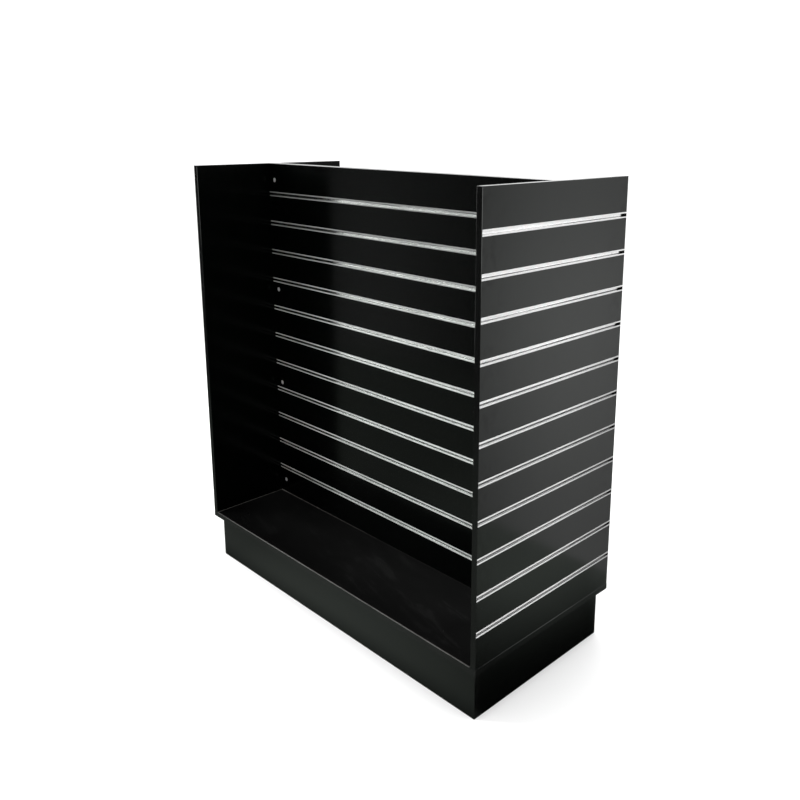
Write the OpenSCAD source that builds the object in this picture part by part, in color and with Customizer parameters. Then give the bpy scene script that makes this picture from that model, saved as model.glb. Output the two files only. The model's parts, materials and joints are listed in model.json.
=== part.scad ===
// Free-standing double-sided slatwall gondola, H-shaped in plan.
// Two slatwall end panels and a back-to-back pair of slatwall centre panels stand on a deck board
// over a recessed plinth. The origin is on the floor at the middle of the plinth: +X runs along the
// length to the right end panel, +Y to the back, +Z up. All sizes are in millimetres.

/* [Deck and plinth] */
// Length of the deck board, end to end
deck_w = 1268; // [1100:4:1500]
// Depth of the deck board, front to back
deck_d = 590; // [540:2:760]
// Height of the plinth from the floor to the underside of the deck
plinth_h = 150; // [120:5:200]
// How far the plinth stands back from the deck's edges
plinth_inset = 21.5; // [20:0.5:40]
// How far the deck runs out past the end panels' outer faces
deck_ledge = 1; // [0.5:0.5:3]

/* [Boards] */
// Thickness of every board
board_t = 18; // [18:0.5:20]
// Thickness of the plastic edge banding
band_t = 1; // [0.5:0.1:2]

/* [Slatwall grooves] */
// Number of grooves on each slatwall face
groove_count = 11; // [8:1:12]
// Distance from one groove to the next
groove_pitch = 101.6; // [95:0.1:130]
// Height of the lowest groove's centre above the deck
first_groove = 99; // [80:1:140]
// Distance from the highest groove's centre up to the panel's top edge
top_margin = 105; // [80:1:140]
// Height of a groove's mouth in the board's face
mouth_h = 11; // [10:0.5:12]
// Depth of the mouth before the groove widens
mouth_d = 4; // [3.5:0.1:4.5]
// Height of the wide pocket behind the mouth
pocket_h = 24; // [22:0.5:25]
// Depth of the whole groove
groove_d = 10.5; // [10:0.1:11]

/* [Aluminium inserts] */
// Wall thickness of the insert
insert_t = 1.2; // [1:0.1:1.3]
// Height that each lip covers on the board's face
lip_h = 2.6; // [2:0.1:4]
// How far the lips stand proud of the face
lip_t = 0.8; // [0.5:0.1:1.2]

/* [Fittings] */
// Radius of a cam lock's disc
cam_r = 7.45; // [7.4:0.01:7.49]
// Distance from the end panel's inner face to a cam's axis
cam_reach = 30; // [24:1:34]
// Radius of the wooden dowels
dowel_r = 4; // [3:0.5:4]
// Length of the wooden dowels
dowel_l = 30; // [26:1:32]

/* [Hidden] */
$fn = 48;

// Colours
melamine = "#1d1e1e";
edge_plastic = "#242525";
aluminium = "#c9cdca";
zinc = "#b9bcbd";
steel = "#9a9c9e";
beech = "#c8a878";

// A cut runs this far past the face it opens
past = 1;
// Radial room round a fastener or dowel in its hole
slack = 0.05;

// Heights of the main levels
deck_top = plinth_h + board_t;
panel_h = first_groove + (groove_count - 1) * groove_pitch + top_margin;
panel_top = deck_top + panel_h;

// End panels
end_x = deck_w / 2 - deck_ledge;
end_inner_x = end_x - board_t;
end_d = deck_d;
end_mid_x = end_x - board_t / 2;

// Plinth
plinth_w = deck_w - 2 * plinth_inset;
plinth_d = deck_d - 2 * plinth_inset;
side_kick_l = plinth_d - 2 * board_t;
brace_x = plinth_w / 6;

// Aluminium insert: its outside keeps this far from the walls of the groove
insert_gap = 0.1;
rib_w = 0.6;
rib_t = 0.4;
rib_step = 2.2;
lip_chamfer = 0.4;

// Cam lock, measured into the board from its face
cam_top = 0.3;
cam_bottom = 13.8;
cam_bore_r = 7.5;
cam_bore_d = 14;
cam_chamber_r = 5.3;
cam_chamber_h = 7.2;
cam_slot_h = 4.6;
cam_slot_margin = 25;
cam_entry_r = 3.7;
cam_cross_l = 7;
cam_cross_w = 1.4;
cam_cross_d = 2.4;
// The slats that carry cam locks, and how far each lock is from the middle of its slat
cam_slats = [0, 4, 7, groove_count];
cam_offsets = [0, -24, 18, -4];

// Cam bolt: a head and neck held by the cam, a shank in the board and a screw in the end panel
bolt_head_r = 3.3;
bolt_head_in = 1.5;
bolt_head_out = 4;
bolt_neck_r = 2.1;
bolt_collar = 9;
bolt_shank_r = 3.5;
bolt_hole_r = 4;
bolt_screw_r = 3;
bolt_screw_l = 11;

// Bolts driven up through the deck into the panels
deck_bolt_r = 3.5;
deck_bolt_head_r = 5;
deck_bolt_head_h = 3.8;
deck_bolt_grip = 32;
deck_bolt_socket = 4;
end_bolt_y = [-220, 0, 220];
centre_bolt_x = [-450, -150, 150, 450];

// Dowels that stand in the deck under the panels
deck_dowel_in = 9;
end_dowel_y = [-130, 130];
centre_dowel_x = [-300, 300];
// Slats at whose middles the dowels between the centre and end panels lie
dowel_slats = [2, 6, 9];
dowel_in_end = 10;

// Screws that draw the two centre panels together from the backs of the grooves
stitch_x = [-400, 0, 400];
stitch_grooves = [2, groove_count - 3];
stitch_r = 1.8;
stitch_head_r = 3.5;
stitch_head_h = 2;
stitch_l = 13;

// Corner blocks and their screws
block_w = 30;
block_h = 110;
block_z = 20;
wood_screw_r = 2;
wood_screw_l = 40;
wood_screw_head_r = 4;
block_screw_z = [45, 105];
block_screw_gap = 12;

// Steel angle brackets under the deck
bracket_x = [-400, 0, 400];
bracket_leg = 30;
bracket_w = 24;
bracket_t = 2;
bracket_hole = 18;
bracket_screw_l = 14;
screw_head_h = 1.8;

// Dowels between the braces and the front and back kick boards
brace_dowel_z = [40, 110];

function groove_z(i) = deck_top + first_groove + i * groove_pitch;
function slat_low(i) = i == 0 ? deck_top : groove_z(i - 1);
function slat_high(i) = i == groove_count ? panel_top : groove_z(i);
function slat_z(i) = (slat_low(i) + slat_high(i)) / 2;
function cam_z(i) = slat_z(cam_slats[i]) + cam_offsets[i];

// ---- Shapes shared by several sub-parts ----

// A profile drawn as (depth into the board, height) is stood up and run along +Y from the origin
// to the given length, with the depth going towards -X.
module run_along_y(length) {
    translate([0, length, 0])
        rotate([90, 0, 0])
            mirror([1, 0, 0])
                linear_extrude(height = length)
                    children();
}

// Puts a profile made for the right-hand end face on one of the four slatwall faces.
// side is "right", "left", "front" or "back"; the run is centred on the face.
module on_face(side, length) {
    turn = side == "right" ? 0 : side == "back" ? 90 : side == "left" ? 180 : 270;
    reach = side == "right" || side == "left" ? end_x : board_t;
    rotate([0, 0, turn])
        translate([reach, -length / 2, 0])
            run_along_y(length)
                children();
}

module groove_profile() {
    for (i = [0 : groove_count - 1]) {
        translate([0, groove_z(i)]) {
            translate([-past, -mouth_h / 2])
                square([mouth_d + past + insert_gap, mouth_h]);
            translate([mouth_d, -pocket_h / 2])
                square([groove_d - mouth_d, pocket_h]);
        }
    }
}

// Half of the insert's outline from the middle of its back wall, round the inside, over the lip
// and back along the outside
function insert_half(s) = [
    [groove_d - insert_gap - insert_t, s * rib_step * 2],
    [groove_d - insert_gap - insert_t, s * (pocket_h / 2 - insert_gap - insert_t)],
    [mouth_d + insert_gap + insert_t, s * (pocket_h / 2 - insert_gap - insert_t)],
    [mouth_d + insert_gap + insert_t, s * (mouth_h / 2 - insert_gap - insert_t)],
    [-lip_t, s * (mouth_h / 2 - insert_gap - insert_t)],
    [-lip_t, s * (mouth_h / 2 - insert_gap + lip_h - lip_chamfer)],
    [-lip_t + lip_chamfer, s * (mouth_h / 2 - insert_gap + lip_h)],
    [0, s * (mouth_h / 2 - insert_gap + lip_h)],
    [0, s * (mouth_h / 2 - insert_gap)],
    [mouth_d + insert_gap, s * (mouth_h / 2 - insert_gap)],
    [mouth_d + insert_gap, s * (pocket_h / 2 - insert_gap)],
    [groove_d - insert_gap, s * (pocket_h / 2 - insert_gap)]
];

module insert_profile() {
    lower = insert_half(-1);
    polygon(concat(insert_half(1), [for (k = [len(lower) - 1 : -1 : 0]) lower[k]]));
    for (k = [-1 : 1])
        translate([groove_d - insert_gap - insert_t - rib_t, k * rib_step - rib_w / 2])
            square([2 * rib_t, rib_w]);
}

// The eleven separate inserts of one slatwall face
module insert_set(side, length) {
    color(aluminium)
        for (i = [0 : groove_count - 1])
            on_face(side, length)
                translate([0, groove_z(i)])
                    insert_profile();
}

// A round peg or hole whose axis runs along +X from the origin
module rod_x(r, length) {
    rotate([0, 90, 0])
        cylinder(r = r, h = length);
}

// A round peg or hole whose axis runs along +Y from the origin
module rod_y(r, length) {
    rotate([-90, 0, 0])
        cylinder(r = r, h = length);
}

// A countersunk wood screw whose head's top is at the origin and whose tip points up
module wood_screw(length, grow = 0) {
    cylinder(r = wood_screw_head_r + grow, h = screw_head_h);
    cylinder(r = wood_screw_r + grow, h = length);
}

// ---- Plinth ----

module long_kick(y) {
    color(melamine)
        difference() {
            translate([-plinth_w / 2 + band_t, y, 0])
                cube([plinth_w - 2 * band_t, board_t, plinth_h]);
            brace_dowel_set(slack);
            corner_screw_set(slack);
            bracket_screw_set(slack);
        }
}

module kick_front() {
    long_kick(-plinth_d / 2);
}

module kick_back() {
    long_kick(plinth_d / 2 - board_t);
}

module side_kick(x) {
    color(melamine)
        difference() {
            translate([x, -side_kick_l / 2, 0])
                cube([board_t, side_kick_l, plinth_h]);
            corner_screw_set(slack);
        }
}

module kick_left() {
    side_kick(-plinth_w / 2);
}

module kick_right() {
    side_kick(plinth_w / 2 - board_t);
}

module kick_end_bands() {
    color(edge_plastic)
        for (x = [-plinth_w / 2, plinth_w / 2 - band_t], y = [-plinth_d / 2, plinth_d / 2 - board_t])
            translate([x, y, 0])
                cube([band_t, board_t, plinth_h]);
}

module brace(x) {
    color(melamine)
        difference() {
            translate([x - board_t / 2, -side_kick_l / 2, 0])
                cube([board_t, side_kick_l, plinth_h]);
            brace_dowel_set(slack);
        }
}

module brace_left() {
    brace(-brace_x);
}

module brace_right() {
    brace(brace_x);
}

module brace_dowel_set(grow) {
    for (x = [-brace_x, brace_x], z = brace_dowel_z, s = [-1, 1])
        translate([x, s * (side_kick_l / 2 - dowel_l / 2 + dowel_in_end) - (dowel_l / 2 + grow), z])
            rod_y(dowel_r + grow, dowel_l + 2 * grow);
}

module brace_dowels() {
    color(beech)
        brace_dowel_set(0);
}

// Places a child made for the right-hand back corner of the plinth in all four corners
module in_corners() {
    for (mx = [0, 1], my = [0, 1])
        mirror([mx, 0, 0])
            mirror([0, my, 0])
                translate([plinth_w / 2 - board_t, plinth_d / 2 - board_t, 0])
                    children();
}

module corner_screw_set(grow) {
    in_corners()
        for (z = block_screw_z) {
            translate([-block_w, -block_screw_gap, z])
                rotate([0, 90, 0])
                    wood_screw(wood_screw_l, grow);
            translate([-block_w + block_screw_gap, -block_w, z + block_screw_gap])
                rotate([-90, 0, 0])
                    wood_screw(wood_screw_l, grow);
        }
}

module corner_blocks() {
    color(beech)
        difference() {
            in_corners()
                translate([-block_w, -block_w, block_z])
                    cube([block_w, block_w, block_h]);
            corner_screw_set(slack);
        }
}

module corner_screws() {
    color(steel)
        corner_screw_set(0);
}

// Places a child made for the back kick board at every angle bracket
module at_brackets() {
    for (x = bracket_x, my = [0, 1])
        mirror([0, my, 0])
            translate([x, side_kick_l / 2, plinth_h])
                children();
}

module bracket_screw_set(grow) {
    at_brackets() {
        translate([0, -bracket_hole, -bracket_t - screw_head_h])
            wood_screw(bracket_screw_l, grow);
        translate([0, -bracket_t - screw_head_h, -bracket_hole])
            rotate([-90, 0, 0])
                wood_screw(bracket_screw_l, grow);
    }
}

module deck_brackets() {
    color(steel)
        difference() {
            at_brackets()
                translate([-bracket_w / 2, -bracket_leg, -bracket_leg])
                    difference() {
                        cube([bracket_w, bracket_leg, bracket_leg]);
                        translate([-past, -past, -past])
                            cube([
                                bracket_w + 2 * past,
                                bracket_leg - bracket_t + past,
                                bracket_leg - bracket_t + past
                            ]);
                    }
            bracket_screw_set(slack);
        }
}

module bracket_screws() {
    color(steel)
        bracket_screw_set(0);
}

// ---- Deck ----

module deck_board() {
    color(melamine)
        difference() {
            translate([-deck_w / 2 + band_t, -deck_d / 2 + band_t, plinth_h])
                cube([deck_w - 2 * band_t, deck_d - 2 * band_t, board_t]);
            bracket_screw_set(slack);
            deck_dowel_set(slack);
            end_bolt_set(slack);
            centre_bolt_set(slack);
        }
}

module deck_long_bands() {
    color(edge_plastic)
        for (y = [-deck_d / 2, deck_d / 2 - band_t])
            translate([-deck_w / 2, y, plinth_h])
                cube([deck_w, band_t, board_t]);
}

module deck_short_bands() {
    color(edge_plastic)
        for (x = [-deck_w / 2, deck_w / 2 - band_t])
            translate([x, -deck_d / 2 + band_t, plinth_h])
                cube([band_t, deck_d - 2 * band_t, board_t]);
}

module deck_dowel_set(grow) {
    for (sx = [-1, 1], y = end_dowel_y)
        translate([sx * end_mid_x, y, deck_top - deck_dowel_in - grow])
            cylinder(r = dowel_r + grow, h = dowel_l + 2 * grow);
    for (x = centre_dowel_x, sy = [-1, 1])
        translate([x, sy * board_t / 2, deck_top - deck_dowel_in - grow])
            cylinder(r = dowel_r + grow, h = dowel_l + 2 * grow);
}

module deck_dowels() {
    color(beech)
        deck_dowel_set(0);
}

// A bolt driven up through the deck, with a hex socket in its head
module deck_bolt(grow) {
    difference() {
        union() {
            translate([0, 0, plinth_h - grow])
                cylinder(r = deck_bolt_head_r + grow, h = deck_bolt_head_h + grow);
            translate([0, 0, plinth_h])
                cylinder(r = deck_bolt_r + grow, h = board_t + deck_bolt_grip + grow);
        }
        if (grow == 0)
            translate([0, 0, plinth_h - past])
                cylinder(r = deck_bolt_socket / 2, h = deck_bolt_head_h, $fn = 6);
    }
}

module end_bolt_set(grow) {
    for (sx = [-1, 1], y = end_bolt_y)
        translate([sx * end_mid_x, y, 0])
            deck_bolt(grow);
}

module centre_bolt_set(grow) {
    for (x = centre_bolt_x, sy = [-1, 1])
        translate([x, sy * board_t / 2, 0])
            deck_bolt(grow);
}

module end_panel_bolts() {
    color(steel)
        end_bolt_set(0);
}

module centre_panel_bolts() {
    color(steel)
        centre_bolt_set(0);
}

// ---- End panels ----

module end_panel(side) {
    sx = side == "right" ? 1 : -1;
    color(melamine)
        difference() {
            translate([sx * end_mid_x - board_t / 2, -end_d / 2 + band_t, deck_top])
                cube([board_t, end_d - 2 * band_t, panel_h - band_t]);
            on_face(side, end_d)
                groove_profile();
            end_bolt_set(slack);
            deck_dowel_set(slack);
            centre_dowel_set(slack);
            cam_bolt_holes();
        }
}

module end_panel_left() {
    end_panel("left");
}

module end_panel_right() {
    end_panel("right");
}

// Front and back edge bands of one end panel
module end_side_bands(sx) {
    color(edge_plastic)
        for (y = [-end_d / 2, end_d / 2 - band_t])
            translate([sx * end_mid_x - board_t / 2, y, deck_top])
                cube([board_t, band_t, panel_h - band_t]);
}

module end_side_bands_left() {
    end_side_bands(-1);
}

module end_side_bands_right() {
    end_side_bands(1);
}

module end_top_band(sx) {
    color(edge_plastic)
        translate([sx * end_mid_x - board_t / 2, -end_d / 2, panel_top - band_t])
            cube([board_t, end_d, band_t]);
}

module end_top_band_left() {
    end_top_band(-1);
}

module end_top_band_right() {
    end_top_band(1);
}

// ---- Centre panels ----

module centre_panel(side) {
    y_low = side == "front" ? -board_t : 0;
    color(melamine)
        difference() {
            translate([-end_inner_x, y_low, deck_top])
                cube([2 * end_inner_x, board_t, panel_h - band_t]);
            on_face(side, 2 * end_inner_x + 2 * past)
                groove_profile();
            centre_bolt_set(slack);
            deck_dowel_set(slack);
            centre_dowel_set(slack);
            stitch_screw_set(slack);
            cam_bores(side);
        }
}

module centre_panel_front() {
    centre_panel("front");
}

module centre_panel_back() {
    centre_panel("back");
}

module centre_top_band(y_low) {
    color(edge_plastic)
        translate([-end_inner_x, y_low, panel_top - band_t])
            cube([2 * end_inner_x, board_t, band_t]);
}

module centre_top_band_front() {
    centre_top_band(-board_t);
}

module centre_top_band_back() {
    centre_top_band(0);
}

module stitch_screw_set(grow) {
    for (x = stitch_x, i = stitch_grooves)
        translate([x, groove_d - board_t, groove_z(i)]) {
            translate([0, -grow, 0])
                rod_y(stitch_head_r + grow, stitch_head_h + grow);
            rod_y(stitch_r + grow, stitch_l + grow);
        }
}

module stitch_screws() {
    color(steel)
        stitch_screw_set(0);
}

module centre_dowel_set(grow) {
    for (sx = [-1, 1], sy = [-1, 1], i = dowel_slats)
        translate([
            sx * (end_inner_x - dowel_l / 2 + dowel_in_end) - dowel_l / 2 - grow,
            sy * board_t / 2,
            slat_z(i)
        ])
            rod_x(dowel_r + grow, dowel_l + 2 * grow);
}

module centre_dowels() {
    color(beech)
        centre_dowel_set(0);
}

// ---- Cam locks ----

// Turns a child made for a left-hand lock, with the bolt coming from -X, to the given end
module at_end(sx) {
    rotate([0, 0, sx < 0 ? 0 : 180])
        children();
}

// Places a child, drawn with the board's face at z = 0 and +Z out of the board, at one lock
module at_cam(side, sx, i) {
    face_y = side == "front" ? -board_t : board_t;
    face_turn = side == "front" ? 0 : 180;
    end_turn = side == "front" ? sx : -sx;
    translate([sx * (end_inner_x - cam_reach), face_y, cam_z(i)])
        rotate([90, 0, face_turn])
            at_end(end_turn)
                children();
}

// The disc of one lock. Locked, its neck slot ends at the bolt; turned by 180 degrees, its round
// entry hole faces the bolt and lets the head out.
module cam_disc() {
    axis_z = -board_t / 2;
    difference() {
        translate([0, 0, -cam_bottom])
            cylinder(r = cam_r, h = cam_bottom - cam_top);
        translate([0, 0, axis_z - cam_chamber_h / 2])
            cylinder(r = cam_chamber_r, h = cam_chamber_h);
        translate([0, 0, axis_z - cam_slot_h / 2])
            rotate([0, 0, -cam_slot_margin])
                rotate_extrude(angle = 180 + 2 * cam_slot_margin)
                    translate([cam_chamber_r - past, 0])
                        square([cam_r - cam_chamber_r + 2 * past, cam_slot_h]);
        translate([0, 0, axis_z])
            rod_x(cam_entry_r, cam_r + past);
        for (turn = [45, 135])
            rotate([0, 0, turn])
                translate([-cam_cross_l / 2, -cam_cross_w / 2, -cam_top - cam_cross_d])
                    cube([cam_cross_l, cam_cross_w, cam_cross_d + past]);
    }
}

module cam_lock(side, sx, i) {
    color(zinc)
        at_cam(side, sx, i)
            cam_disc();
}

// The round seats of the cam discs and the bolt holes that run out of them to the board's ends
module cam_bores(side) {
    for (sx = [-1, 1], i = [0 : len(cam_slats) - 1])
        at_cam(side, sx, i) {
            translate([0, 0, -cam_bore_d])
                cylinder(r = cam_bore_r, h = cam_bore_d + past);
            translate([-cam_reach - past, 0, -board_t / 2])
                rod_x(bolt_hole_r, cam_reach + past);
        }
}

// One bolt, with the cam's axis at the origin and the end panel's face at x = -cam_reach
module cam_bolt() {
    translate([-bolt_head_out, 0, 0])
        rod_x(bolt_head_r, bolt_head_out - bolt_head_in);
    translate([-bolt_collar, 0, 0])
        rod_x(bolt_neck_r, bolt_collar - bolt_head_in);
    translate([-cam_reach, 0, 0])
        rod_x(bolt_shank_r, cam_reach - bolt_collar);
    translate([-cam_reach - bolt_screw_l, 0, 0])
        rod_x(bolt_screw_r, bolt_screw_l + past);
}

module cam_bolt_set(sx) {
    color(steel)
        for (side = ["front", "back"], i = [0 : len(cam_slats) - 1])
            at_cam(side, sx, i)
                translate([0, 0, -board_t / 2])
                    cam_bolt();
}

// Pilot holes in the end panels for the bolts' screw ends
module cam_bolt_holes() {
    for (side = ["front", "back"], sx = [-1, 1], i = [0 : len(cam_slats) - 1])
        at_cam(side, sx, i)
            translate([-cam_reach - bolt_screw_l - slack, 0, -board_t / 2])
                rod_x(bolt_screw_r + slack, bolt_screw_l + slack);
}

module cam_bolts_left() {
    cam_bolt_set(-1);
}

module cam_bolts_right() {
    cam_bolt_set(1);
}

// ---- Inserts ----

module inserts_left() {
    insert_set("left", end_d - 2 * band_t);
}

module inserts_right() {
    insert_set("right", end_d - 2 * band_t);
}

module inserts_front() {
    insert_set("front", 2 * end_inner_x);
}

module inserts_back() {
    insert_set("back", 2 * end_inner_x);
}

// ---- Drawing ----

kick_front();
kick_back();
kick_left();
kick_right();
kick_end_bands();
brace_left();
brace_right();
brace_dowels();
corner_blocks();
corner_screws();
deck_brackets();
bracket_screws();
deck_board();
deck_long_bands();
deck_short_bands();
deck_dowels();
end_panel_bolts();
centre_panel_bolts();
end_panel_left();
end_panel_right();
end_side_bands_left();
end_side_bands_right();
end_top_band_left();
end_top_band_right();
centre_panel_front();
centre_panel_back();
centre_top_band_front();
centre_top_band_back();
stitch_screws();
centre_dowels();
cam_bolts_left();
cam_bolts_right();
inserts_left();
inserts_right();
inserts_front();
inserts_back();
cam_lock("front", -1, 0);  // cam_front_left_1
cam_lock("front", -1, 1);  // cam_front_left_2
cam_lock("front", -1, 2);  // cam_front_left_3
cam_lock("front", -1, 3);  // cam_front_left_4
cam_lock("front", 1, 0);  // cam_front_right_1
cam_lock("front", 1, 1);  // cam_front_right_2
cam_lock("front", 1, 2);  // cam_front_right_3
cam_lock("front", 1, 3);  // cam_front_right_4
cam_lock("back", -1, 0);  // cam_back_left_1
cam_lock("back", -1, 1);  // cam_back_left_2
cam_lock("back", -1, 2);  // cam_back_left_3
cam_lock("back", -1, 3);  // cam_back_left_4
cam_lock("back", 1, 0);  // cam_back_right_1
cam_lock("back", 1, 1);  // cam_back_right_2
cam_lock("back", 1, 2);  // cam_back_right_3
cam_lock("back", 1, 3);  // cam_back_right_4
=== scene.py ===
"""Looks of the free-standing double-sided slatwall gondola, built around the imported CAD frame, in metres."""

import json

import bmesh
import bpy
from mathutils import Matrix, Vector


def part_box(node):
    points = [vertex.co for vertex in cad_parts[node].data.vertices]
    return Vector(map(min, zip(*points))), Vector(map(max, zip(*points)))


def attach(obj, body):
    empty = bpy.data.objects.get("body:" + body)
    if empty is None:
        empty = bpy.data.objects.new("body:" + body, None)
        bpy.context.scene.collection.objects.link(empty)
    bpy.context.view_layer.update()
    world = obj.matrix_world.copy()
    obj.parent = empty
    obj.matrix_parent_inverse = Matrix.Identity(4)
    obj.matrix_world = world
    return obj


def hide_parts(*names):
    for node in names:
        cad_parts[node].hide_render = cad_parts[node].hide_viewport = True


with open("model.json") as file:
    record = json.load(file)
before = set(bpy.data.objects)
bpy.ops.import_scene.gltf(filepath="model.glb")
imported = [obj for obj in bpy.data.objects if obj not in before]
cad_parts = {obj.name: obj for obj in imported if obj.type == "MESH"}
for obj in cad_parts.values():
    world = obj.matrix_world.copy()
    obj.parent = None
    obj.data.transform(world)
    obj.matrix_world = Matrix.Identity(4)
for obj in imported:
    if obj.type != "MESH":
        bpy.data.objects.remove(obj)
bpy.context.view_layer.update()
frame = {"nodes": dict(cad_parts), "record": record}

# Thickness of the edge banding and of the boards
BAND = 0.001
BOARD = 0.018
# Radius of the banding's outer arrises
ARRIS = 0.0009
ARRIS_STEPS = 4
# Radius of the edges that are only eased
KICK_EASE = 0.0004
CAM_EASE = 0.0002
# Colour of the gloss on all the black faces
BLACK_SHEEN = (0.95, 1.0, 0.965, 1.0)
# The boards' fine pebbling: bumps to a metre, and their depth
PEBBLE_SCALE = 1300.0
PEBBLE_DEPTH = 0.00008
BLACK = (0.0, 0.0, 0.0, 1.0)

# ---- Node graph helpers ----


class Graph:
    """Short names for building a node tree. A value may be a number, a tuple or another node's output."""

    def __init__(self, tree):
        self.tree = tree
        tree.nodes.clear()

    def node(self, kind, settings=None, **inputs):
        made = self.tree.nodes.new(kind)
        for key, value in (settings or {}).items():
            setattr(made, key, value)
        for key, value in inputs.items():
            self.feed(made.inputs[key], value)
        return made

    def feed(self, socket, value):
        if isinstance(value, bpy.types.NodeSocket):
            self.tree.links.new(value, socket)
        else:
            socket.default_value = value

    def maths(self, operation, *values):
        made = self.tree.nodes.new("ShaderNodeMath")
        made.operation = operation
        for socket, value in zip(made.inputs, values):
            self.feed(socket, value)
        return made.outputs[0]

    def times(self, first, second):
        return self.maths("MULTIPLY", first, second)

    def plus(self, first, second):
        return self.maths("ADD", first, second)

    def minus(self, first, second):
        return self.maths("SUBTRACT", first, second)

    def absolute(self, value):
        return self.maths("ABSOLUTE", value)

    def stretch(self, where, scales):
        """Scales a place, so that a pattern of scale 1 has this many cells to a metre along X, Y and Z."""
        return self.vector("MULTIPLY", where, scales)

    def vector(self, operation, *values, scale=None):
        made = self.tree.nodes.new("ShaderNodeVectorMath")
        made.operation = operation
        for socket, value in zip(made.inputs, values):
            self.feed(socket, value)
        if scale is not None:
            self.feed(made.inputs["Scale"], scale)
        return made.outputs[0]

    def split(self, value):
        made = self.tree.nodes.new("ShaderNodeSeparateXYZ")
        self.feed(made.inputs[0], value)
        return made.outputs

    def spread(self, value, low, high, to_low=0.0, to_high=1.0, smooth=False):
        made = self.tree.nodes.new("ShaderNodeMapRange")
        made.interpolation_type = "SMOOTHSTEP" if smooth else "LINEAR"
        for key, number in zip(
            ("Value", "From Min", "From Max", "To Min", "To Max"), (value, low, high, to_low, to_high)
        ):
            self.feed(made.inputs[key], number)
        return made.outputs[0]

    def mix(self, factor, first, second):
        made = self.tree.nodes.new("ShaderNodeMix")
        made.data_type = "RGBA"
        for index, value in ((0, factor), (6, first), (7, second)):
            self.feed(made.inputs[index], value)
        return made.outputs[2]

    def noise(self, where, scale, detail=2.0, rough=0.5, distortion=0.0):
        made = self.tree.nodes.new("ShaderNodeTexNoise")
        self.feed(made.inputs["Vector"], where)
        made.inputs["Scale"].default_value = scale
        made.inputs["Detail"].default_value = detail
        made.inputs["Roughness"].default_value = rough
        made.inputs["Distortion"].default_value = distortion
        return made.outputs[0]

    def bump(self, height, strength, distance):
        made = self.tree.nodes.new("ShaderNodeBump")
        made.inputs["Strength"].default_value = strength
        made.inputs["Distance"].default_value = distance
        self.feed(made.inputs["Height"], height)
        return made.outputs[0]

    def place(self):
        """Position in metres in the object's own frame, which is the shared frame at rest."""
        return self.tree.nodes.new("ShaderNodeTexCoord").outputs["Object"]

    def normal(self):
        return self.tree.nodes.new("ShaderNodeNewGeometry").outputs["Normal"]


def grey(value):
    return (value, value, value, 1.0)


def new_material(name, **constants):
    """A material with one Principled shader. constants are its sockets' values, with _ for a space."""
    material = bpy.data.materials.new(name)
    material.use_nodes = True
    graph = Graph(material.node_tree)
    out = graph.node("ShaderNodeOutputMaterial")
    shader = graph.node("ShaderNodeBsdfPrincipled")
    graph.tree.links.new(shader.outputs[0], out.inputs["Surface"])
    for key, value in constants.items():
        shader.inputs[key.replace("_", " ")].default_value = value
    return material, graph, shader


def specks(graph, where, scale, radius, share):
    """1 on small round specks with soft rims, of which only a share of the grid's cells keep theirs."""
    cells = graph.node("ShaderNodeTexVoronoi", {"feature": "F1"}, Vector=where, Scale=scale)
    near = graph.spread(cells.outputs["Distance"], radius, radius * 0.6)
    chosen = graph.maths("GREATER_THAN", share, graph.split(cells.outputs["Color"])[0])
    return graph.times(near, chosen)


# ---- Materials ----


def melamine(name, inner=None):
    """Black melamine-faced board: near-black and satin, with faint handling smears.

    inner is how far an end panel's inner face stands from the middle. That face's gloss is dimmed there as
    painted shade, and its roughness raised.
    """
    material, graph, shader = new_material(name, IOR=1.5, Specular_Tint=BLACK_SHEEN)
    place = graph.place()
    cloud = graph.noise(place, 4.5, 4.0, 0.6, 0.7)
    rub = graph.noise(graph.stretch(place, (14.0, 60.0, 18.0)), 1.0, 3.0, 0.6, 0.4)
    rough = graph.plus(graph.spread(cloud, 0.3, 0.72, 0.13, 0.17), graph.spread(rub, 0.35, 0.7, -0.005, 0.01))
    if inner is not None:
        hand_gloss, shade_dimmed_gloss, inner_rough = grey(0.5), grey(0.18), 0.03
        x, y, _ = graph.split(place)
        inside = graph.spread(graph.absolute(x), inner + 0.0008, inner + 0.0002)
        # Hand marks towards the upright edges
        hands = graph.spread(graph.noise(place, 26.0, 4.0, 0.6, 1.2), 0.5, 0.66, 0.0, 0.5)
        hands = graph.times(hands, graph.spread(graph.absolute(y), 0.19, 0.27))
        rough = graph.plus(rough, graph.times(inside, inner_rough))
        gloss = graph.mix(hands, BLACK_SHEEN, hand_gloss)
        # Inner faces: gloss dimmed, a painted shade
        graph.feed(shader.inputs["Specular Tint"], graph.mix(inside, gloss, shade_dimmed_gloss))
    dark, pale = (0.0003, 0.0005, 0.0004, 1.0), (0.0006, 0.0008, 0.0007, 1.0)
    graph.feed(shader.inputs["Base Color"], graph.mix(graph.spread(cloud, 0.4, 0.75), dark, pale))
    graph.feed(shader.inputs["Roughness"], rough)
    graph.feed(shader.inputs["Normal"], graph.bump(graph.noise(place, PEBBLE_SCALE, 2.0), 0.1, PEBBLE_DEPTH))
    return material


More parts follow.
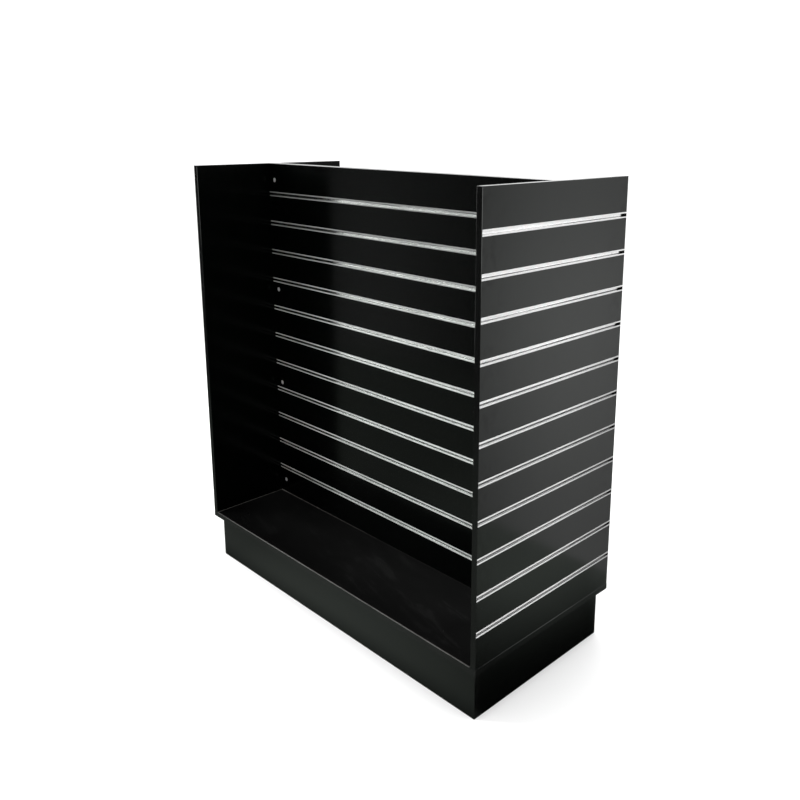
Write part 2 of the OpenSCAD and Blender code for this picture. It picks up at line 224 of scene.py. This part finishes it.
def deck_melamine(name):
    """The deck's board: melamine dulled by shop dust, with painted highlights along its joints with the panels
    and its front edge, and painted light in the corners where the left end panel meets the centre panel.
    """
    material, graph, shader = new_material(name, IOR=1.5, Specular_IOR_Level=0.01)
    clean, joint_highlight_colour = grey(0.0008), (0.45, 0.43, 0.4, 1.0)
    dust, dust_share = (0.131, 0.134, 0.132, 1.0), 0.027
    grit_colour, grit_share = (0.35, 0.34, 0.31, 1.0), 0.45
    place = graph.place()
    x, y, _ = graph.split(place)
    # Both bays are alike: y counts from the middle towards the front in each
    y = graph.times(graph.absolute(y), -1.0)
    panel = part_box("end_panel_left")[1].x
    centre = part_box("centre_panel_front")[0].y
    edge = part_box("deck_board")[0].y

    # A thin film of dust with paler wisps where a cloth has passed; the film is made paler towards the right
    # and the back
    film = graph.noise(graph.stretch(place, (4.0, 7.0, 5.0)), 1.0, 3.0, 0.5, 0.8)
    slant = graph.node("ShaderNodeVectorRotate", {"rotation_type": "Z_AXIS"}, Vector=place, Angle=0.22)
    wipe = graph.noise(graph.stretch(slant.outputs[0], (5.0, 34.0, 20.0)), 1.0, 5.0, 0.65, 0.8)
    wisps = graph.spread(wipe, 0.52, 0.64, 0.0, 0.7, smooth=True)
    wisps = graph.times(wisps, graph.spread(film, 0.4, 0.55))
    dust_and_painted_light = graph.plus(graph.spread(film, 0.25, 0.8, 0.65, 1.1), wisps)
    dust_and_painted_light = graph.times(dust_and_painted_light, graph.spread(x, -0.6, 0.6, 0.4, 1.75))
    # Painted light: paler in the corners where the left end panel meets the centre panel, lifting that panel's
    # shade
    corner = graph.times(graph.spread(x, -0.4, -0.6, 0.0, 0.5), graph.spread(y, -0.22, -0.1))
    dust_and_painted_light = graph.times(graph.plus(dust_and_painted_light, corner), graph.spread(y, edge, -0.13, 0.5, 1.2))
    colour = graph.mix(graph.times(dust_and_painted_light, dust_share), clean, dust)

    # Painted highlights along the joints with the panels and along the front edge
    ragged = graph.spread(graph.noise(place, 60.0, 4.0, 0.7), 0.3, 0.7, 0.25, 1.0)
    outward = graph.times(graph.absolute(x), -1.0)
    by_end = graph.spread(outward, panel + 0.0045, panel + 0.0015, 0.0, 0.22)
    by_centre = graph.spread(y, centre - 0.004, centre - 0.0015, 0.0, 0.3)
    along_centre = graph.plus(
        graph.spread(x, panel + 0.07, -0.05, 1.0, 0.06), graph.spread(x, panel + 0.03, panel + 0.06, 1.6, 0.0)
    )
    by_centre = graph.times(by_centre, along_centre)
    front_highlight = graph.spread(y, edge + 0.0022, edge + 0.0012, 0.0, 0.17)
    highlight_lines = graph.maths("MAXIMUM", graph.maths("MAXIMUM", by_end, by_centre), front_highlight)
    colour = graph.mix(graph.times(highlight_lines, ragged), colour, joint_highlight_colour)

    coarse, fine = specks(graph, place, 34.0, 0.022, 0.3), specks(graph, place, 90.0, 0.04, 0.1)
    grit = graph.maths("MAXIMUM", coarse, fine)
    colour = graph.mix(graph.times(grit, grit_share), colour, grit_colour)
    graph.feed(shader.inputs["Base Color"], colour)
    graph.feed(shader.inputs["Roughness"], graph.plus(graph.times(dust_and_painted_light, 0.1), 0.24))
    graph.feed(shader.inputs["Normal"], graph.bump(graph.noise(place, PEBBLE_SCALE, 2.0), 0.1, PEBBLE_DEPTH))
    return material


def banding(name, tone, arris_highlight=0.0):
    """Plastic edge banding. Its last argument sets how strongly a painted highlight lightens the upper arris.
    """
    material, graph, shader = new_material(name, IOR=1.5, Specular_Tint=BLACK_SHEEN)
    place = graph.place()
    fine = graph.noise(place, 700.0, 3.0, 0.6)
    patch = graph.noise(place, 16.0, 4.0, 0.65)
    colour = graph.mix(graph.spread(patch, 0.35, 0.7), grey(tone * 0.75), grey(tone * 1.3))
    if arris_highlight > 0.0:
        highlight_colour = (0.5, 0.5, 0.48, 1.0)
        top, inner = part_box("deck_long_bands")[1].z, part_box("end_panel_right")[0].x
        x, _, z = graph.split(place)
        highlight_breaks = graph.noise(place, 420.0, 3.0, 0.7)
        highlight_mask = graph.times(
            graph.spread(patch, 0.25, 0.65, 0.5, 1.0), graph.spread(highlight_breaks, 0.3, 0.7, 0.5, 1.0)
        )
        # Painted highlight only along the arris, only between the end panels, and less at the left
        upper = graph.spread(z, top - 0.0024, top - 0.0012)
        upper = graph.times(upper, graph.spread(x, -inner, -0.35, 0.35, 1.0))
        between = graph.spread(graph.absolute(x), inner - 0.001, inner - 0.006)
        highlight_mask = graph.times(highlight_mask, graph.times(upper, between))
        colour = graph.mix(graph.times(highlight_mask, arris_highlight), colour, highlight_colour)
    graph.feed(shader.inputs["Base Color"], colour)
    graph.feed(shader.inputs["Roughness"], graph.spread(patch, 0.3, 0.75, 0.15, 0.21))
    graph.feed(shader.inputs["Normal"], graph.bump(fine, 0.2, 0.0001))
    return material


def drawn_aluminium(name, along, face):
    """Extruded aluminium whose draw lines run along the X or Y axis and scatter light across them.

    face is how far the board's face stands from the middle. The lips outside it are etched duller.
    """
    material, graph, shader = new_material(name, IOR=1.5, Anisotropic=0.8)
    lip_rough, slot_rough, lip_metal = grey(0.85), grey(0.15), 0.82
    place = graph.place()
    axis = Vector((1, 0, 0)) if along == "x" else Vector((0, 1, 0))
    lines = graph.noise(graph.stretch(place, tuple(2.5 if k else 2600.0 for k in axis)), 1.0, 2.0, 0.6)
    broad = graph.noise(graph.stretch(place, tuple(1.2 if k else 300.0 for k in axis)), 1.0, 2.0)
    normal = graph.normal()
    across = graph.vector("CROSS_PRODUCT", tuple(axis), normal)
    x, y, z = graph.split(place)
    proud = graph.minus(graph.absolute(y if along == "x" else x), face)
    lip = graph.spread(proud, -0.0006, 0.0002)
    # Each draw line leans the surface a little across the extrusion
    lean = graph.times(graph.minus(lines, 0.5), graph.spread(lip, 0.0, 1.0, 1.1, 0.4))
    tilted = graph.vector("ADD", normal, graph.vector("SCALE", across, scale=lean))
    rough = graph.mix(lip, slot_rough, lip_rough)
    streak = graph.spread(broad, 0.3, 0.7, 0.92, 1.05)
    if along == "x":
        dull, bright = (0.86, 0.885, 0.865, 1.0), (0.92, 0.94, 0.92, 1.0)
        tone = graph.mix(graph.spread(broad, 0.35, 0.65), dull, bright)
        # Lips darker towards the top, a painted shade
        tone = graph.mix(graph.times(graph.spread(z, 0.85, 1.25, 0.0, 0.5), lip), tone, BLACK)
    else:
        tone = graph.mix(graph.spread(broad, 0.35, 0.65), grey(0.88), grey(0.93))
        # Painted shade: darker low down, and darker still low down towards the back
        tone = graph.mix(graph.spread(z, 1.0, 0.6, 0.0, 0.12), tone, BLACK)
        low_back_shade = graph.times(graph.spread(y, 0.03, 0.28, 0.0, 0.42), graph.spread(z, 1.2, 0.75))
        tone = graph.mix(low_back_shade, tone, grey(0.05))
    tone = graph.mix(graph.spread(lines, 0.4, 0.65, 0.0, 0.16), tone, grey(0.3))
    graph.feed(shader.inputs["Base Color"], tone)
    graph.feed(shader.inputs["Metallic"], graph.spread(lip, 0.0, 1.0, 1.0, lip_metal))
    graph.feed(shader.inputs["Roughness"], graph.times(rough, streak))
    graph.feed(shader.inputs["Normal"], graph.vector("NORMALIZE", tilted))
    # A hair off the exact direction, so that it never has no length
    off = graph.vector("ADD", across, (0.001, 0.002, 0.003))
    graph.feed(shader.inputs["Tangent"], graph.vector("NORMALIZE", off))
    return material


def cast_zinc(name):
    """Grainy, slightly stained zinc of the cam locks."""
    material, graph, shader = new_material(name, Metallic=0.85, IOR=1.5)
    place = graph.place()
    grain = graph.noise(place, 1600.0, 3.0, 0.6)
    stain = graph.noise(place, 260.0, 3.0, 0.6)
    stained, clean = (0.7, 0.71, 0.72, 1.0), (0.88, 0.89, 0.9, 1.0)
    graph.feed(shader.inputs["Base Color"], graph.mix(graph.spread(stain, 0.35, 0.7), stained, clean))
    graph.feed(shader.inputs["Roughness"], graph.spread(grain, 0.3, 0.7, 0.5, 0.65))
    graph.feed(shader.inputs["Normal"], graph.bump(grain, 0.4, 0.0001))
    return material


def plated_steel(name):
    """Zinc-plated steel with its spangle and fine scratches."""
    material, graph, shader = new_material(name, Metallic=1.0, IOR=1.5)
    place = graph.place()
    spangle = graph.node("ShaderNodeTexVoronoi", {"feature": "F1"}, Vector=place, Scale=220.0)
    shade = graph.split(spangle.outputs["Color"])[0]
    scratch = graph.noise(graph.stretch(place, (90.0, 1500.0, 90.0)), 1.0, 2.0)
    dark, pale = (0.46, 0.47, 0.48, 1.0), (0.62, 0.63, 0.65, 1.0)
    graph.feed(shader.inputs["Base Color"], graph.mix(shade, dark, pale))
    graph.feed(shader.inputs["Roughness"], graph.spread(scratch, 0.3, 0.7, 0.28, 0.42))
    graph.feed(shader.inputs["Normal"], graph.bump(scratch, 0.15, 0.0001))
    return material


def beech(name):
    """Plain beech, with thin growth rings and a finer fleck."""
    material, graph, shader = new_material(name, IOR=1.45)
    place = graph.place()
    late, early, ray = (0.44, 0.27, 0.14, 1.0), (0.60, 0.42, 0.25, 1.0), (0.3, 0.17, 0.08, 1.0)
    rings = graph.noise(graph.stretch(place, (30.0, 30.0, 260.0)), 1.0, 3.0, 0.6, 0.5)
    fleck = graph.noise(graph.stretch(place, (180.0, 180.0, 1500.0)), 1.0, 2.0)
    body = graph.mix(graph.spread(rings, 0.3, 0.7), late, early)
    graph.feed(shader.inputs["Base Color"], graph.mix(graph.spread(fleck, 0.55, 0.7, 0.0, 0.5), body, ray))
    graph.feed(shader.inputs["Roughness"], graph.spread(rings, 0.3, 0.7, 0.5, 0.65))
    graph.feed(shader.inputs["Normal"], graph.bump(fleck, 0.3, 0.0002))
    return material


BOARD_BLACK = melamine("board_black")
END_BLACK = melamine("end_board_black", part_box("end_panel_right")[0].x)
DECK_BLACK = deck_melamine("deck_black")
BAND_BLACK = banding("band_black", 0.0012)
ARRIS_BLACK = banding("arris_black", 0.003)
# The deck's long banding, with a painted highlight on its upper arris
DECK_ARRIS_HIGHLIGHT = banding("deck_painted_highlight", 0.003, arris_highlight=0.25)
ALUMINIUM_X = drawn_aluminium("aluminium_along_x", "x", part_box("centre_panel_back")[1].y)
ALUMINIUM_Y = drawn_aluminium("aluminium_along_y", "y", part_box("end_panel_right")[1].x)
FINISHES = {
    "melamine_board": BOARD_BLACK,
    "edge_band": BAND_BLACK,
    "insert_aluminium": ALUMINIUM_X,
    "zinc_casting": cast_zinc("zinc_casting"),
    "fastener_steel": plated_steel("fastener_steel"),
    "beech": beech("beech"),
}
SPECIAL = {
    "deck_board": DECK_BLACK,
    "end_panel_left": END_BLACK,
    "end_panel_right": END_BLACK,
    "inserts_left": ALUMINIUM_Y,
    "inserts_right": ALUMINIUM_Y,
}


def dress_cad_nodes():
    """Gives every CAD node its slot's finish, or its own where SPECIAL names one."""
    slots = {part["node"]: part["material_slot"] for part in frame["record"]["subparts"]}
    for node, piece in frame["nodes"].items():
        finish = SPECIAL.get(node, FINISHES[slots[node]])
        for index in range(len(piece.material_slots)):
            piece.material_slots[index].material = finish


def soften(node, width):
    """A small round on every sharp edge of a simple CAD node."""
    piece = frame["nodes"][node]
    weld = piece.modifiers.new("weld", "WELD")
    weld.merge_threshold = 0.00002
    bevel = piece.modifiers.new("bevel", "BEVEL")
    bevel.width = width
    bevel.segments = 2
    bevel.limit_method = "ANGLE"
    bevel.angle_limit = 0.6
    bevel.harden_normals = False


# ---- Edge banding ----


def strip_into(mesh, low, high, outward, sides):
    """Adds one strip of banding to a bmesh, with some arrises of its outer face rounded.

    outward is the signed axis that the outer face looks along, such as "-y". sides lists the signed
    axes of the sides where that face's arris is rounded.
    """
    axis = "xyz".index(outward[1])
    limit = low[axis] if outward[0] == "-" else high[axis]
    made = bmesh.ops.create_cube(mesh, size=1.0)["verts"]
    size = [high[k] - low[k] for k in range(3)]
    middle = [(high[k] + low[k]) / 2 for k in range(3)]
    for vertex in made:
        vertex.co = Vector([middle[k] + vertex.co[k] * size[k] for k in range(3)])
    edges = {edge for vertex in made for edge in vertex.link_edges}
    rounded = [edge for edge in edges if on_outer_arris(edge, axis, limit, low, high, sides)]
    before = set(mesh.faces)
    result = bmesh.ops.bevel(
        mesh, geom=rounded, offset=ARRIS, offset_type="OFFSET", segments=ARRIS_STEPS, profile=0.5,
        affect="EDGES", clamp_overlap=False,
    )
    for face in result["faces"]:
        if face not in before:
            face.material_index = 1
            face.smooth = True


def on_outer_arris(edge, axis, limit, low, high, sides):
    """Whether an edge of the strip's box lies in its outer face and on one of the listed sides."""
    near = 1e-6
    if all(abs(vertex.co[axis] - limit) < near for vertex in edge.verts):
        for k in (k for k in range(3) if k != axis):
            for sign, face in (("-", low[k]), ("+", high[k])):
                if all(abs(vertex.co[k] - face) < near for vertex in edge.verts):
                    return sign + "xyz"[k] in sides
    return False


def banding_piece(name, node, strips, flat, arris):
    """One piece of edge banding that stands for a CAD node. strips holds (low, high, outward, sides)."""
    mesh = bmesh.new()
    for low, high, outward, sides in strips:
        strip_into(mesh, low, high, outward, sides)
    bmesh.ops.recalc_face_normals(mesh, faces=mesh.faces)
    data = bpy.data.meshes.new(name)
    mesh.to_mesh(data)
    mesh.free()
    piece = bpy.data.objects.new(name, data)
    bpy.context.scene.collection.objects.link(piece)
    piece.data.materials.append(flat)
    piece.data.materials.append(arris)
    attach(piece, "gondola")
    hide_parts(node)


def slab(box, axis, side, thickness):
    """The part of a box within a thickness of one of its two faces across an axis."""
    low, high = box[0].copy(), box[1].copy()
    if side == "-":
        high[axis] = low[axis] + thickness
    else:
        low[axis] = high[axis] - thickness
    return low, high


def make_banding():
    """All the edge banding, each piece a closer copy of its CAD node."""
    deck_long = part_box("deck_long_bands")
    banding_piece(
        "band_deck_long", "deck_long_bands",
        [(*slab(deck_long, 1, s, BAND), s + "y", ("-z", "+z", "-x", "+x")) for s in "-+"],
        DECK_ARRIS_HIGHLIGHT, DECK_ARRIS_HIGHLIGHT,
    )
    deck_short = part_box("deck_short_bands")
    banding_piece(
        "band_deck_short", "deck_short_bands",
        [(*slab(deck_short, 0, s, BAND), s + "x", ("-z", "+z")) for s in "-+"],
        BAND_BLACK, ARRIS_BLACK,
    )
    for side in ("left", "right"):
        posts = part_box("end_side_bands_" + side)
        banding_piece(
            "band_end_side_" + side, "end_side_bands_" + side,
            [(*slab(posts, 1, s, BAND), s + "y", ("-x", "+x")) for s in "-+"],
            BAND_BLACK, ARRIS_BLACK,
        )
        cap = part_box("end_top_band_" + side)
        banding_piece(
            "band_end_top_" + side, "end_top_band_" + side,
            [(*cap, "+z", ("-x", "+x", "-y", "+y"))], BAND_BLACK, ARRIS_BLACK,
        )
    for side, face in (("front", "-y"), ("back", "+y")):
        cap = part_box("centre_top_band_" + side)
        banding_piece(
            "band_centre_top_" + side, "centre_top_band_" + side,
            [(*cap, "+z", (face,))], BAND_BLACK, ARRIS_BLACK,
        )
    # One on each end of the two long kick boards
    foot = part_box("kick_end_bands")
    corners = []
    for sx in "-+":
        for sy in "-+":
            across = slab(foot, 0, sx, BAND)
            corners.append((*slab(across, 1, sy, BOARD), sx + "x", (sy + "y",)))
    banding_piece("band_kick_ends", "kick_end_bands", corners, BAND_BLACK, ARRIS_BLACK)


# ---- Studio ----


def plane(name, low, high, material):
    """A flat rectangle at floor height, between two corners in X and Y."""
    mesh = bmesh.new()
    bmesh.ops.create_grid(mesh, x_segments=1, y_segments=1, size=0.5)
    for vertex in mesh.verts:
        vertex.co = Vector((
            low[0] + (vertex.co.x + 0.5) * (high[0] - low[0]),
            low[1] + (vertex.co.y + 0.5) * (high[1] - low[1]),
            0.0,
        ))
    data = bpy.data.meshes.new(name)
    mesh.to_mesh(data)
    mesh.free()
    data.materials.append(material)
    made = bpy.data.objects.new(name, data)
    bpy.context.scene.collection.objects.link(made)
    return made


def make_floor():
    """The plain pale floor, left out of reflections because the floor card stands in for it there."""
    material, graph, shader = new_material("floor_pale", IOR=1.4, Roughness=0.9, Specular_IOR_Level=0.1)
    tone = graph.noise(graph.place(), 1.5, 3.0)
    graph.feed(shader.inputs["Base Color"], graph.mix(tone, grey(0.88), grey(0.92)))
    floor = plane("floor", (-20, -20), (20, 20), material)
    floor.visible_glossy = False


def grey_vector(graph, value):
    return graph.node("ShaderNodeCombineXYZ", X=value, Y=value, Z=value).outputs[0]


def make_floor_card():
    """A dark card on the floor that only reflections see, so that the black faces stay black low down. Its
    glow is painted floor light with painted shadow: darkest close beside and behind the gondola, a little
    darker right at its front, dimmer to both sides and far ahead.
    """
    green_cast = (0.91, 1.0, 0.91)
    material = bpy.data.materials.new("floor_card")
    material.use_nodes = True
    graph = Graph(material.node_tree)
    x, y, _ = graph.split(graph.place())
    foot_low, foot_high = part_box("kick_front")[0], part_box("kick_back")[1]
    beside = graph.minus(graph.absolute(x), foot_high.x)
    behind = graph.minus(y, foot_high.y)
    away = graph.maths("MAXIMUM", beside, behind)
    in_front = graph.minus(foot_low.y, y)
    side = graph.times(
        graph.spread(away, 0.0, 0.42, 0.015, 0.28, smooth=True), graph.spread(y, -0.1, 0.3, 0.45, 1.3)
    )
    near = graph.spread(in_front, 0.0, 0.06, 0.21, 0.34, smooth=True)
    far = graph.spread(in_front, 0.06, 0.32, 0.0, 0.14, smooth=True)
    # It dims to both sides
    fall = graph.maths("MINIMUM", graph.times(graph.times(x, x), 1.1), 0.38)
    ahead = graph.times(graph.minus(near, far), graph.minus(1.0, fall))
    front = graph.spread(in_front, -0.05, 0.02, 0.0, 1.0, smooth=True)
    level = graph.mix(front, grey_vector(graph, side), grey_vector(graph, ahead))
    tinted = graph.vector("MULTIPLY", level, green_cast)
    glow = graph.node("ShaderNodeEmission", Color=tinted)
    out = graph.node("ShaderNodeOutputMaterial")
    graph.tree.links.new(glow.outputs[0], out.inputs["Surface"])
    material.cycles.emission_sampling = "NONE"
    card = plane("floor_card", (-2.6, -2.0), (2.6, 0.6), material)
    card.visible_camera = False
    card.visible_diffuse = False
    card.visible_shadow = False
    card.visible_transmission = False


def make_world():
    """Even to the camera and the floor, and a bright back and dim front to reflections."""
    ambient, ceiling_glow, band_glow = 1.35, 2.8, 2.8
    # The backdrop is brightest at half_way to either side of its middle, and dims over half_width
    half_way, half_width = 0.595, 0.055
    world = bpy.data.worlds.new("studio")
    bpy.context.scene.world = world
    world.use_nodes = True
    world.cycles.sampling_method = "NONE"
    graph = Graph(world.node_tree)
    towards = graph.tree.nodes.new("ShaderNodeTexCoord").outputs["Generated"]
    side, back, up = graph.split(towards)
    level_way = graph.maths("SQRT", graph.minus(1.0, graph.times(up, up)))
    aside = graph.maths("DIVIDE", side, graph.maths("MAXIMUM", level_way, 0.05))

    # Backdrop behind: brightest a little below eye level
    low = graph.spread(up, -0.5, -0.24, 0.6, 1.1, smooth=True)
    high = graph.spread(up, -0.18, -0.06, 1.0, 0.78, smooth=True)
    sky = graph.spread(up, -0.02, 0.06, 0.0, 0.8, smooth=True)
    sky = graph.plus(sky, graph.spread(up, 0.2, 0.5, smooth=True))
    off = graph.maths("DIVIDE", graph.minus(graph.absolute(aside), half_way), half_width)
    dip = graph.times(graph.times(off, off), 0.2)
    patch = graph.maths("MAXIMUM", graph.minus(1.0, dip), 0.55)
    wall = graph.plus(graph.times(graph.times(low, high), patch), sky)

    # Room in front: dim, with a lit band above eye level and a lighter ceiling
    rise, fall = graph.spread(aside, -0.81, -0.765, 0.05, 0.2), graph.spread(aside, -0.765, -0.66, 0.2, 0.045)
    glow = graph.maths("MINIMUM", rise, fall)
    dim = graph.times(glow, graph.spread(up, -0.13, -0.05, 1.0, 0.65))
    dim = graph.times(dim, graph.spread(up, 0.3, 0.45, 1.0, 0.3))
    band = graph.times(graph.spread(up, 0.06, 0.13, smooth=True), graph.spread(up, 0.38, 0.3, smooth=True))
    band = graph.times(band, graph.spread(aside, -0.42, -0.66, 0.0, band_glow, smooth=True))
    ceiling = graph.spread(up, 0.66, 0.8, 0.0, ceiling_glow, smooth=True)
    room = graph.plus(graph.plus(dim, band), ceiling)

    turn = graph.spread(back, -0.12, 0.2, smooth=True)
    seen = graph.plus(room, graph.times(turn, graph.minus(wall, room)))
    glossy = graph.tree.nodes.new("ShaderNodeLightPath").outputs["Is Glossy Ray"]
    level = graph.plus(graph.times(glossy, seen), graph.times(graph.minus(1.0, glossy), ambient))
    shade = graph.node("ShaderNodeBackground", Color=(1.0, 1.0, 1.0, 1.0), Strength=level)
    out = graph.node("ShaderNodeOutputWorld")
    graph.tree.links.new(shade.outputs[0], out.inputs["Surface"])


def softbox(name, spot, size, power, target):
    """A lamp that lights surfaces and shows in no reflection. power is in watts."""
    light = bpy.data.lights.new(name, "AREA")
    light.shape = "RECTANGLE"
    light.size, light.size_y = size
    light.energy = power
    made = bpy.data.objects.new(name, light)
    made.location = spot
    made.rotation_euler = (Vector(target) - Vector(spot)).to_track_quat("-Z", "Y").to_euler()
    made.visible_camera = False
    made.visible_glossy = False
    bpy.context.scene.collection.objects.link(made)


def make_lights():
    softbox("key", spot=(-2.5, -2.1, 2.1), size=(1.3, 1.0), power=90.0, target=(0.0, -0.3, 0.3))
    softbox("top", spot=(0.4, 0.6, 3.6), size=(2.4, 2.0), power=60.0, target=(0.0, 0.0, 0.6))


def make_camera():
    """Off the front right corner and a little above the top. right and up are the picture's own axes."""
    spot = Vector((1.87339, -1.67755, 1.51912))
    right = Vector((0.70942, 0.70477, 0.00451))
    up = Vector((-0.16041, 0.15523, 0.97477))
    data = bpy.data.cameras.new("camera")
    data.sensor_width = 36.0
    data.lens = 37.355
    data.shift_x = -0.0505
    data.shift_y = -0.1059
    data.clip_start = 0.05
    data.clip_end = 100.0
    camera = bpy.data.objects.new("camera", data)
    turn = Matrix((right, up, right.cross(up))).transposed()
    camera.matrix_world = Matrix.Translation(spot) @ turn.to_4x4()
    bpy.context.scene.collection.objects.link(camera)
    bpy.context.scene.camera = camera


# ---- Scene ----

dress_cad_nodes()
make_banding()
for kick in ("kick_front", "kick_back"):
    soften(kick, KICK_EASE)
for node in frame["nodes"]:
    if node.startswith(("cam_front", "cam_back")):
        soften(node, CAM_EASE)
make_world()
make_floor()
make_floor_card()
make_lights()
make_camera()
bpy.context.scene.view_settings.view_transform = "Standard"
